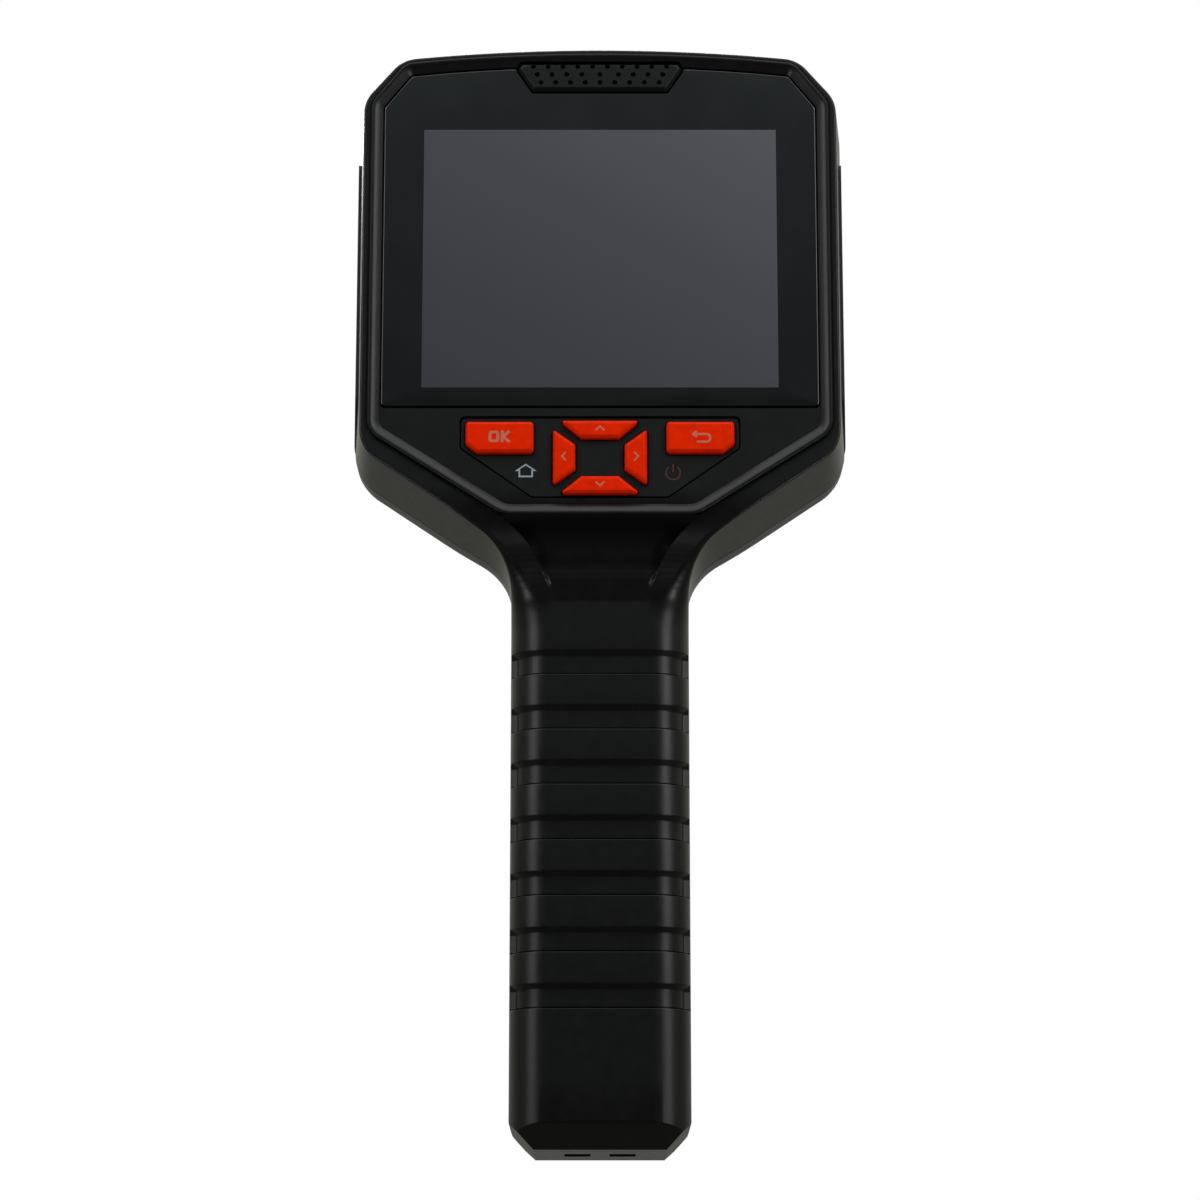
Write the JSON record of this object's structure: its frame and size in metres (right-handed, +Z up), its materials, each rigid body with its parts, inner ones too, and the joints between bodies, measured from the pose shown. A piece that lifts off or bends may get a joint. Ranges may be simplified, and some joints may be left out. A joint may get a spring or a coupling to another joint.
{
  "type": "thermal imaging camera",
  "caption": "Handheld pistol-grip thermal camera: screen and orange keys on the rear of the head, lens at the front, ribbed grip, trigger, hinged port cover and base strap slots.",
  "frame": {"origin": "middle of the flat base of the grip", "axes": "+Z up the grip towards the head, +Y the way the lens looks, -Y the screen side, +X to the right of a person looking at the screen"},
  "size_m": [0.0912, 0.0901, 0.203],
  "materials": {
    "shell": "fine moulded texture, satin",
    "insert": "satin",
    "rubber": "matt",
    "orange_key": "satin",
    "screen_glass": "gloss, hard-coated window",
    "display": "dark unlit screen",
    "circuit_board": "solder mask",
    "steel": "plated",
    "aluminium": "anodised",
    "germanium": "polished and coated",
    "clear_lens": "clear moulded window",
    "battery_wrap": "shrink wrap",
    "red_wire": "silicone insulation",
    "black_wire": "silicone insulation"
  },
  "bodies": {
    "body": {"rear_housing": "shell", "front_housing": "shell", "front_plate": "insert", "display_window": "screen_glass", "lcd_module": "display", "speaker_grille": "shell", "keypad_plate": "insert", "keypad_board": "circuit_board", "speaker": "insert", "main_board": "circuit_board", "shield_can": "steel", "battery_connector": "insert", "usb_socket": "steel", "card_socket": "steel", "memory_card": "insert", "battery_cell": "battery_wrap", "battery_cradle": "insert", "red_lead": "red_wire", "black_lead": "black_wire", "thermal_core": "aluminium", "shutter_frame": "insert", "shutter_motor": "steel", "lens_barrel": "shell", "lens_bumper": "rubber", "germanium_lens": "germanium", "lens_ring": "aluminium", "camera_module": "insert", "camera_window": "clear_lens", "lamp_lens": "clear_lens", "lamp_board": "circuit_board", "side_pad_left": "rubber", "trigger_pin": "steel", "trigger_spring": "steel", "trigger_switch": "insert", "switch_ok": "insert", "switch_back": "insert", "switch_up": "insert", "switch_down": "insert", "switch_left": "insert", "switch_right": "insert", "screw_top_left": "steel", "screw_top_right": "steel", "screw_low_left": "steel", "screw_low_right": "steel", "screw_neck_left": "steel", "screw_neck_right": "steel", "screw_base": "steel"},
    "key_ok": {"key_ok": "orange_key"},
    "key_back": {"key_back": "orange_key"},
    "key_up": {"key_up": "orange_key"},
    "key_down": {"key_down": "orange_key"},
    "key_left": {"key_left": "orange_key"},
    "key_right": {"key_right": "orange_key"},
    "trigger": {"trigger": "shell"},
    "port_cover": {"port_cover": "rubber"},
    "shutter_blade": {"shutter_blade": "steel"}
  },
  "joints": [
    {"name": "ok_key_press", "type": "slide", "parent": "body", "child": "key_ok", "axis": [0, 1, 0], "range_m": [0, 0.0006], "stiffness_N_per_m": 2500},
    {"name": "back_key_press", "type": "slide", "parent": "body", "child": "key_back", "axis": [0, 1, 0], "range_m": [0, 0.0006], "stiffness_N_per_m": 2500},
    {"name": "up_key_press", "type": "slide", "parent": "body", "child": "key_up", "axis": [0, 1, 0], "range_m": [0, 0.0006], "stiffness_N_per_m": 2500},
    {"name": "down_key_press", "type": "slide", "parent": "body", "child": "key_down", "axis": [0, 1, 0], "range_m": [0, 0.0006], "stiffness_N_per_m": 2500},
    {"name": "left_key_press", "type": "slide", "parent": "body", "child": "key_left", "axis": [0, 1, 0], "range_m": [0, 0.0006], "stiffness_N_per_m": 2500},
    {"name": "right_key_press", "type": "slide", "parent": "body", "child": "key_right", "axis": [0, 1, 0], "range_m": [0, 0.0006], "stiffness_N_per_m": 2500},
    {"name": "trigger_pull", "type": "hinge", "parent": "body", "child": "trigger", "pos_m": [0, 0.015, 0.095], "axis": [-1, 0, 0], "range_deg": [0, 6], "stiffness_Nm_per_rad": 0.3, "springref_deg": -5.73},
    {"name": "port_cover_hinge", "type": "hinge", "parent": "body", "child": "port_cover", "pos_m": [0.0456, 0.0009, 0.1553], "axis": [0, 0, 1], "range_deg": [0, 100]},
    {"name": "shutter_turn", "type": "hinge", "parent": "body", "child": "shutter_blade", "pos_m": [0.018, 0.0139, 0.146], "axis": [0, -1, 0], "range_deg": [0, 45]}
  ]
}
